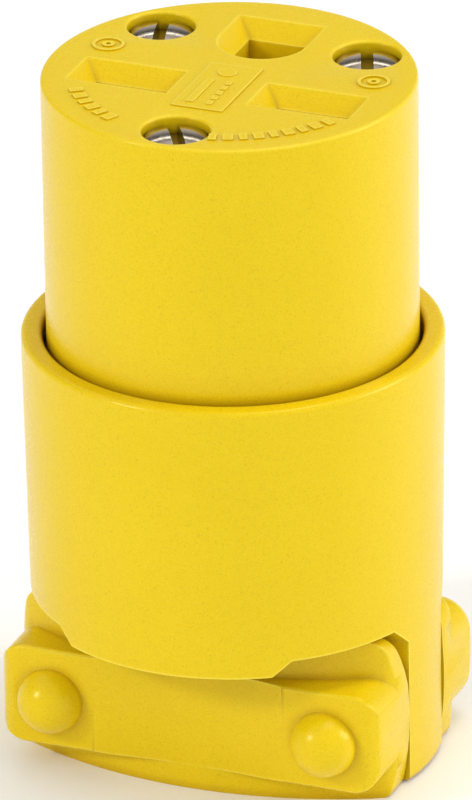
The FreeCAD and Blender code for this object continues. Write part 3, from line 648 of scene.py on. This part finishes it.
def slotted_head(name, head_r, head_h, crown, slot_degrees):
    """Drawn along +Z with its seat at the origin. The dome's radius is (r^2 + h^2) / 2h."""
    dome = (head_r ** 2 + crown ** 2) / (2 * crown)
    r = np.linspace(head_r, DOME_INNER_R, 12)
    top = np.column_stack([r, head_h - dome + np.sqrt(dome ** 2 - r ** 2)])
    head = turned(name, np.concatenate([[(MAJOR_R, -0.3), (MAJOR_R, 0), (head_r, 0)], top]), 96)
    depth = TALL_SLOT if head_h > TALL_HEAD else LOW_SLOT
    slot = block("slot", (-SLOT_HALF, SLOT_HALF), (-head_r - 1, head_r + 1),
                 (head_h - depth, head_h + 1))
    slot.data.transform(rotation(slot_degrees - 90))
    combined(head, [slot], "DIFFERENCE")
    return soften(head, 0.17, segments=4)


print("slots are", 2 * SLOT_HALF, "mm wide")

# %% [markdown]
# ## The eight screws
# Three long screws hold the body in the sleeve, three hold the wires, and two close the jaws. Each
# could be its own drawing, but they differ only in a few measures, so a list holds those. A screw is
# drawn upright, then its mesh is turned to the joint's axis and carried to its seat.

# %% Screws in place
FIT_GAP, PLATE_THICK = 0.05, 0.9
ASSEMBLY_HEAD, TERMINAL_HEAD, CLAMP_HEAD = (2.9, 3.1, 0.5), (3.0, 2.1, 0.35), (3.3, 2.1, 0.35)

# node, (head radius, head height, crown), length, slot's direction, top of the thread, lift
screw_kinds = [(f"assembly_screw_{n}", ASSEMBLY_HEAD, 47.6, degrees, -34.0, 0.0)
               for n, degrees in ((1, 104.0), (2, 112.0), (3, 121.0))]
screw_kinds += [(f"terminal_screw_{side}", TERMINAL_HEAD, 5.5, degrees, -0.9, PLATE_THICK + 2 * FIT_GAP)
                for side, degrees in zip(SIDES, (35.0, 75.0, 115.0))]
screw_kinds += [(f"clamp_screw_{side}", CLAMP_HEAD, 24.9, degrees, -4.0, 0.0)
                for side, degrees in zip(SIDES, (100.0, 40.0))]


def set_in_place(thing, axis, at):
    """Turns +Z to the axis, then moves the seat to its place. The mesh carries the place."""
    turn = Vector((0, 0, 1)).rotation_difference(Vector(axis)).to_matrix().to_4x4()
    turn.translation = Vector(at) * mm
    thing.data.transform(turn)


screw_pieces = []
for node, head_sizes, length, degrees, thread_top, lift in screw_kinds:
    head = slotted_head(node + "_head", *head_sizes, degrees)
    shank = threaded_shank(length, thread_top)
    shank.name = node + "_shank"
    smooth(shank)
    axis = np.array(joint_axis[node + "_turn"])
    for thing in (head, shank):
        set_in_place(thing, axis, joint_at[node + "_turn"] + axis * lift)
    slot = "green_screw" if node == "terminal_screw_ground" else "zinc_steel"
    finish_piece(head, node, slot, node)
    finish_piece(shank, node, slot)
    screw_pieces += [head, shank]

# %% [markdown]
# ## Helpers for finishes
# A material is a graph of nodes. An image texture could carry the painted edge highlights and shade, but it
# would need UVs and would blur close up, so everything is worked out from the object's own coordinates.
# These few helpers add one node each and join it up.

# %% Node helpers


def given(tree, socket, value):
    """Links an output to the socket, or sets a plain value on it."""
    if hasattr(value, "is_output"):
        tree.links.new(value, socket)
    else:
        socket.default_value = value


def noise(tree, vector, scale, detail=2.0, roughness=0.5):
    node = tree.nodes.new("ShaderNodeTexNoise")
    for label, value in (("Scale", scale), ("Detail", detail), ("Roughness", roughness)):
        node.inputs[label].default_value = value
    tree.links.new(vector, node.inputs["Vector"])
    return node.outputs["Fac"]


def maths(tree, how, a, b, clamp=False):
    node = tree.nodes.new("ShaderNodeMath")
    node.operation, node.use_clamp = how, clamp
    given(tree, node.inputs[0], a)
    given(tree, node.inputs[1], b)
    return node.outputs[0]


def mixed_colour(tree, share, first, second):
    node = tree.nodes.new("ShaderNodeMix")
    node.data_type = "RGBA"
    for socket, value in ((node.inputs["Factor"], share), (node.inputs[6], first), (node.inputs[7], second)):
        given(tree, socket, value)
    return node.outputs[2]


def in_range(tree, value, low, high):
    node = tree.nodes.new("ShaderNodeMapRange")
    node.inputs["To Min"].default_value, node.inputs["To Max"].default_value = low, high
    tree.links.new(value, node.inputs["Value"])
    return node.outputs["Result"]


def group_with(name, inputs, outputs):
    """A node group with named sockets and its input and output nodes."""
    group = bpy.data.node_groups.new(name, "ShaderNodeTree")
    for label, kind, value in inputs:
        socket = group.interface.new_socket(label, in_out="INPUT", socket_type=kind)
        if value is not None:
            socket.default_value = value
    for label in outputs:
        group.interface.new_socket(label, in_out="OUTPUT", socket_type="NodeSocketFloat")
    return group, group.nodes.new("NodeGroupInput"), group.nodes.new("NodeGroupOutput")


print("node helpers ready")

# %% [markdown]
# ## Grain of the mould
# A spark-eroded mould leaves a fine grain on the plastic, and larger, fainter clouds come from the
# way it flowed. Displacing the mesh would need millions of faces, so the grain is noise that the
# material uses for colour, roughness and bump. As a node group it is made once and shared.

# %% Moulded grain
FINE_SCALE, COARSE_SCALE, SPECK_SCALE, CLOUD_SCALE = 6800, 1700, 4600, 70   # cells per metre
FINE_SHARE, SPECK_LEVEL, SPECK_GAIN = 0.88, 0.71, 9.0


def moulded_grain():
    """Grain: fine noise of about 0.2 mm with a coarser one mixed in. Clouds: slow variation over
    about 15 mm. Specks: the rare peaks of a fine noise, where a grain of pigment shows."""
    group, inside, outside = group_with(
        "moulded_grain", [("Vector", "NodeSocketVector", None)], ("Grain", "Clouds", "Specks"))
    vector = inside.outputs["Vector"]
    fine = noise(group, vector, FINE_SCALE, 2.0, 0.7)
    coarse = noise(group, vector, COARSE_SCALE, 1.0, 0.5)
    grain = maths(group, "ADD", maths(group, "MULTIPLY", fine, FINE_SHARE),
                  maths(group, "MULTIPLY", coarse, 1 - FINE_SHARE))
    peaks = maths(group, "SUBTRACT", noise(group, vector, SPECK_SCALE, 0.0), SPECK_LEVEL)
    group.links.new(grain, outside.inputs["Grain"])
    group.links.new(noise(group, vector, CLOUD_SCALE, 3.0, 0.55), outside.inputs["Clouds"])
    group.links.new(maths(group, "MULTIPLY", peaks, SPECK_GAIN, clamp=True), outside.inputs["Specks"])
    return group


GRAIN = moulded_grain()
print("shared effect:", GRAIN.name)

# %% [markdown]
# ## Edges and crevices
# A thin line of light along each edge and shade in each crevice are painted into the colour, as a painted
# highlight and painted shade.
# They follow from the shape. A Bevel node gives a rounded normal, which differs from the true one only
# near an edge. Ambient occlusion is low only in a crevice.

# %% Edge and corner masks
SHALLOW_TURN, EDGE_GAIN = 0.02, 16.0         # a fold of less than about 20 degrees gets no painted highlight
OPEN_LEVEL, OPEN_GAIN, AO_SAMPLES = 0.55, 2.5, 6


def edges_and_corners():
    """Edge: 1 where the surface turns within Radius, from 1 - (rounded normal . true normal), kept
    off inner corners. Corner: 1 deep in a crevice, from ambient occlusion over Reach."""
    group, inside, outside = group_with(
        "edges_and_corners",
        [("Radius", "NodeSocketFloat", 0.3 * mm), ("Reach", "NodeSocketFloat", 1.0 * mm)],
        ("Edge", "Corner"))
    bevel = group.nodes.new("ShaderNodeBevel")
    group.links.new(inside.outputs["Radius"], bevel.inputs["Radius"])
    facing = group.nodes.new("ShaderNodeVectorMath")
    facing.operation = "DOT_PRODUCT"
    group.links.new(bevel.outputs["Normal"], facing.inputs[0])
    group.links.new(group.nodes.new("ShaderNodeNewGeometry").outputs["Normal"], facing.inputs[1])
    turn = maths(group, "SUBTRACT", 1.0, facing.outputs["Value"])
    turn = maths(group, "SUBTRACT", turn, SHALLOW_TURN)
    turn = maths(group, "MULTIPLY", turn, EDGE_GAIN, clamp=True)
    shade = group.nodes.new("ShaderNodeAmbientOcclusion")
    shade.samples = AO_SAMPLES
    group.links.new(inside.outputs["Reach"], shade.inputs["Distance"])
    openness = shade.outputs["AO"]
    open_only = maths(group, "SUBTRACT", openness, OPEN_LEVEL)
    open_only = maths(group, "MULTIPLY", open_only, OPEN_GAIN, clamp=True)
    # Edge: the mask for a painted highlight along convex edges
    group.links.new(maths(group, "MULTIPLY", turn, open_only), outside.inputs["Edge"])
    # Corner: the mask for painted shade in crevices
    group.links.new(maths(group, "SUBTRACT", 1.0, openness, clamp=True), outside.inputs["Corner"])
    return group


EDGES = edges_and_corners()
print("shared effect:", EDGES.name)

# %% [markdown]
# ## Yellow vinyl
# The shell is one yellow vinyl, coloured right through. One flat colour would look like paint, so
# the clouds take it from deep to light and grain and specks darken it. The masks also paint a highlight
# along its edges and painted shade into its crevices. A little subsurface light gives the soft look of a plastic.

# %% Yellow vinyl
DEEP_YELLOW, LIGHT_YELLOW = (0.785, 0.548, 0.0040, 1), (0.838, 0.604, 0.0060, 1)
MOTTLE, SPECK = (0.635, 0.435, 0.003, 1), (0.55, 0.34, 0.006, 1)
# a pale colour for a painted highlight along edges, and a dark orange one for painted shade in crevices
PAINTED_EDGE_LIGHT, PAINTED_SHADE = (0.95, 0.80, 0.10, 1), (0.40, 0.19, 0.002, 1)
MOTTLE_LEVEL, MOTTLE_GAIN = 0.52, 3.0
# the last two set how strongly the painted edge highlight and the painted crevice shade are mixed in
SPECK_SHARE, PAINTED_EDGE_LIGHT_SHARE, PAINTED_SHADE_SHARE = 0.4, 0.9, 0.8


def new_material(name):
    material = bpy.data.materials.new(name)
    material.use_nodes = True
    tree = material.node_tree
    at = tree.nodes.new("ShaderNodeTexCoord").outputs["Object"]
    return material, tree, tree.nodes["Principled BSDF"], at


def bump(tree, height, shader, distance, strength):
    node = tree.nodes.new("ShaderNodeBump")
    node.inputs["Distance"].default_value = distance * mm
    node.inputs["Strength"].default_value = strength
    tree.links.new(height, node.inputs["Height"])
    tree.links.new(node.outputs["Normal"], shader.inputs["Normal"])


def placed(tree, group, **values):
    """A node group set into a material with its own values."""
    node = tree.nodes.new("ShaderNodeGroup")
    node.node_tree = group
    for label, value in values.items():
        given(tree, node.inputs[label], value)
    return node.outputs


def yellow_vinyl():
    """Deep to light yellow by the clouds, darker specks, a painted highlight along the edges and painted shade in
    the crevices.
    """
    material, tree, shader, at = new_material("yellow_vinyl")
    grain = placed(tree, GRAIN, Vector=at)
    edges = placed(tree, EDGES, Radius=0.35 * mm, Reach=1.0 * mm)
    mottle = maths(tree, "SUBTRACT", MOTTLE_LEVEL, grain["Grain"])
    colour = mixed_colour(tree, in_range(tree, grain["Clouds"], 0.1, 0.9), DEEP_YELLOW, LIGHT_YELLOW)
    for share, tint in (
            (maths(tree, "MULTIPLY", mottle, MOTTLE_GAIN, clamp=True), MOTTLE),
            (maths(tree, "MULTIPLY", grain["Specks"], SPECK_SHARE), SPECK),
            # a painted highlight along the edges, then painted shade in the crevices
            (maths(tree, "MULTIPLY", edges["Edge"], PAINTED_EDGE_LIGHT_SHARE), PAINTED_EDGE_LIGHT),
            (maths(tree, "MULTIPLY", edges["Corner"], PAINTED_SHADE_SHARE), PAINTED_SHADE)):
        colour = mixed_colour(tree, share, colour, tint)
    tree.links.new(colour, shader.inputs["Base Color"])
    tree.links.new(in_range(tree, grain["Grain"], 0.18, 0.33), shader.inputs["Roughness"])
    shader.inputs["Specular IOR Level"].default_value = 0.40
    shader.inputs["Specular Tint"].default_value = (1.0, 0.93, 0.50, 1)
    shader.inputs["IOR"].default_value = 1.5
    shader.inputs["Subsurface Weight"].default_value = 0.05
    shader.inputs["Subsurface Radius"].default_value = (0.9, 0.5, 0.08)
    shader.inputs["Subsurface Scale"].default_value = 1.0 * mm
    bump(tree, grain["Grain"], shader, 0.03, 0.35)
    return material


YELLOW = yellow_vinyl()
print("finish:", YELLOW.name, "with", len(YELLOW.node_tree.nodes), "nodes")

# %% [markdown]
# ## Metals and the insulator
# Screws are turned and plated, contacts are stamped from drawn brass strip, and the insulator is
# dull black. Anisotropic reflection could show the marks of the tools. Noise squeezed along one
# axis does it with fewer settings, and also breaks up the colour. Edges get a painted highlight, and corners get
# painted shade.

# %% Metals and the insulator
# the last two set how far edges are lightened as a painted highlight, and how dark corners get as painted shade
MARK_SCALE, METAL_EDGE_HIGHLIGHT, METAL_CORNER_SHADE = 900, 0.4, 0.08


def metal(name, first, second, rough_low, rough_high, stretch, metallic=1.0):
    """Marks mix the two colours and the two roughnesses. stretch squeezes them along an axis."""
    material, tree, shader, at = new_material(name)
    squeezed = tree.nodes.new("ShaderNodeMapping")
    squeezed.inputs["Scale"].default_value = stretch
    tree.links.new(at, squeezed.inputs["Vector"])
    lines = noise(tree, squeezed.outputs["Vector"], MARK_SCALE, 3.0, 0.6)
    edges = placed(tree, EDGES, Radius=0.12 * mm, Reach=1.8 * mm)
    # a paler colour on edges as a painted highlight, and a darker one in corners as painted shade
    highlight_colour = tuple(METAL_EDGE_HIGHLIGHT + (1 - METAL_EDGE_HIGHLIGHT) * c for c in first)
    shade_colour = tuple(METAL_CORNER_SHADE * c for c in second)
    colour = mixed_colour(tree, lines, (*first, 1), (*second, 1))
    colour = mixed_colour(tree, edges["Edge"], colour, (*highlight_colour, 1))
    colour = mixed_colour(tree, edges["Corner"], colour, (*shade_colour, 1))
    tree.links.new(colour, shader.inputs["Base Color"])
    tree.links.new(in_range(tree, lines, rough_low, rough_high), shader.inputs["Roughness"])
    shader.inputs["Metallic"].default_value = metallic
    bump(tree, lines, shader, 0.01, 0.3)
    return material


finish_of = {
    "yellow_shell": YELLOW,
    "zinc_steel": metal("zinc_steel", (0.66, 0.57, 0.46), (0.46, 0.38, 0.28), 0.07, 0.22, (1, 1, 3)),
    "brass": metal("brass_strip", (0.86, 0.66, 0.30), (0.74, 0.52, 0.20), 0.2, 0.38, (1, 1, 0.15)),
    "green_screw": metal("green_screw", (0.08, 0.36, 0.14), (0.05, 0.24, 0.09), 0.28, 0.45, (1, 1, 3), 0.6),
    "dark_insulator": metal("dark_insulator", (0.03, 0.03, 0.032), (0.05, 0.05, 0.052), 0.5, 0.7,
                            (1, 1, 1), 0.0),
}
print("finishes:", sorted(finish_of))

# %% [markdown]
# ## Finishes on the pieces
# Every piece carries the name of its material slot, so one table can dress them all. The engineering
# parts get the same finishes, because a hidden one may come into view when a joint moves.

# %% Finishes on the pieces
for name, node in nodes.items():
    node.data.materials.clear()
    node.data.materials.append(finish_of[slot_of[name]])
pieces = [body_shell, marks, sleeve_piece, front_jaw, rear_jaw] + inner_pieces + screw_pieces
for piece in pieces:
    piece.data.materials.clear()
    piece.data.materials.append(finish_of[piece["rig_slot"]])
    piece.data.polygons.foreach_set("material_index", np.zeros(len(piece.data.polygons), int))
print(len(pieces), "pieces dressed")

# %% [markdown]
# ## Floor
# A product stands on a plain pale sheet. A curved backdrop would also do, but from above a flat
# floor of six metres fills the view, and the shadow stays true.

# %% Floor
FLOOR_HALF_M = 3.0
FLOOR_PAINT, FLOOR_ROUGHNESS = (0.96, 0.96, 0.955, 1), 0.9

floor_mesh = bpy.data.meshes.new("floor")
corners = np.column_stack([rectangle(-FLOOR_HALF_M, FLOOR_HALF_M, -FLOOR_HALF_M, FLOOR_HALF_M), np.zeros(4)])
floor_mesh.from_pydata(corners.tolist(), [], [(0, 1, 2, 3)])
floor = bpy.data.objects.new("floor", floor_mesh)
bpy.context.scene.collection.objects.link(floor)
floor_paint, _, floor_shader, _ = new_material("pale_floor")
floor_shader.inputs["Base Color"].default_value = FLOOR_PAINT
floor_shader.inputs["Roughness"].default_value = FLOOR_ROUGHNESS
floor_mesh.materials.append(floor_paint)
print("floor is", 2 * FLOOR_HALF_M, "m square")

# %% [markdown]
# ## Lights
# A big panel at the right brightens that side of the sleeve, a small one at the left makes the
# highlights on the domes, and a third fills from above. A narrow strip behind puts a glint on the
# screw heads. Points or suns would do too, but panels give the soft shadow edge of a studio.

# %% Light panels
LIGHT_DISTANCE_M = 0.9
MIDDLE = Vector((0, 0, 0.035))               # the middle of the object, in metres


def panel(name, azimuth, elevation, width, height, power):
    """A flat light aimed at the middle of the object. Azimuth 0 is in front, 90 at the right."""
    lamp = bpy.data.lights.new(name, "AREA")
    lamp.shape, lamp.size, lamp.size_y, lamp.energy = "RECTANGLE", width, height, power
    thing = bpy.data.objects.new(name, lamp)
    way = Vector(direction(math.radians(azimuth), math.radians(elevation)))
    thing.location = MIDDLE + way * LIGHT_DISTANCE_M
    thing.rotation_euler = way.to_track_quat("Z", "Y").to_euler()
    bpy.context.scene.collection.objects.link(thing)


panel("right_panel", 112, 24, 0.34, 0.42, 2.95)
panel("left_panel", -39, 30, 0.10, 0.12, 2.1)
panel("top_panel", 120, 78, 0.40, 0.40, 1.4)
panel("head_glint_strip", 200, 38, 0.60, 0.04, 0.32)

# %% [markdown]
# ## Sky
# A white sky fills the shadows, but a sky that is white all round makes polished metal look like
# grey paint. So it is bright in front and to the right, and behind it a dark band stands between
# the floor and a bright strip overhead. An HDR picture could do this; a ramp over height is enough.

# %% Sky
BRIGHT_SIDE, FADE = (0.60, -0.75, 0.28), 0.35
SKY_GREY, SKY_STRENGTH = (0.90, 0.90, 0.90, 1), 0.90
BEHIND = ((0.0, 0.75), (0.30, 0.60), (0.45, 0.10), (0.62, 0.08), (0.74, 1.0), (1.0, 1.0))


def studio_sky():
    """sky = ramp(height) behind and SKY_GREY in front, faded by direction . BRIGHT_SIDE. Each of
    the ramp's stops in BEHIND is (height of the direction, grey)."""
    world = bpy.data.worlds.new("studio")
    world.use_nodes = True
    tree = world.node_tree
    way = tree.nodes.new("ShaderNodeTexCoord").outputs["Generated"]
    towards = tree.nodes.new("ShaderNodeVectorMath")
    towards.operation = "DOT_PRODUCT"
    towards.inputs[1].default_value = BRIGHT_SIDE
    tree.links.new(way, towards.inputs[0])
    front = tree.nodes.new("ShaderNodeMapRange")
    front.interpolation_type = "SMOOTHSTEP"
    front.inputs["From Min"].default_value, front.inputs["From Max"].default_value = -FADE, FADE
    tree.links.new(towards.outputs["Value"], front.inputs["Value"])
    height = tree.nodes.new("ShaderNodeSeparateXYZ")
    tree.links.new(way, height.inputs[0])
    ramp = tree.nodes.new("ShaderNodeValToRGB")
    while len(ramp.color_ramp.elements) < len(BEHIND):
        ramp.color_ramp.elements.new(0.5)
    for element, (place, grey) in zip(ramp.color_ramp.elements, BEHIND):
        element.position, element.color = place, (grey, grey, grey, 1)
    tree.links.new(height.outputs["Z"], ramp.inputs["Fac"])
    sky = mixed_colour(tree, front.outputs["Result"], ramp.outputs["Color"], SKY_GREY)
    tree.links.new(sky, tree.nodes["Background"].inputs["Color"])
    tree.nodes["Background"].inputs["Strength"].default_value = SKY_STRENGTH
    return world


bpy.context.scene.world = studio_sky()
bpy.context.scene.view_settings.view_transform = "Standard"
print("sky:", bpy.context.scene.world.name)
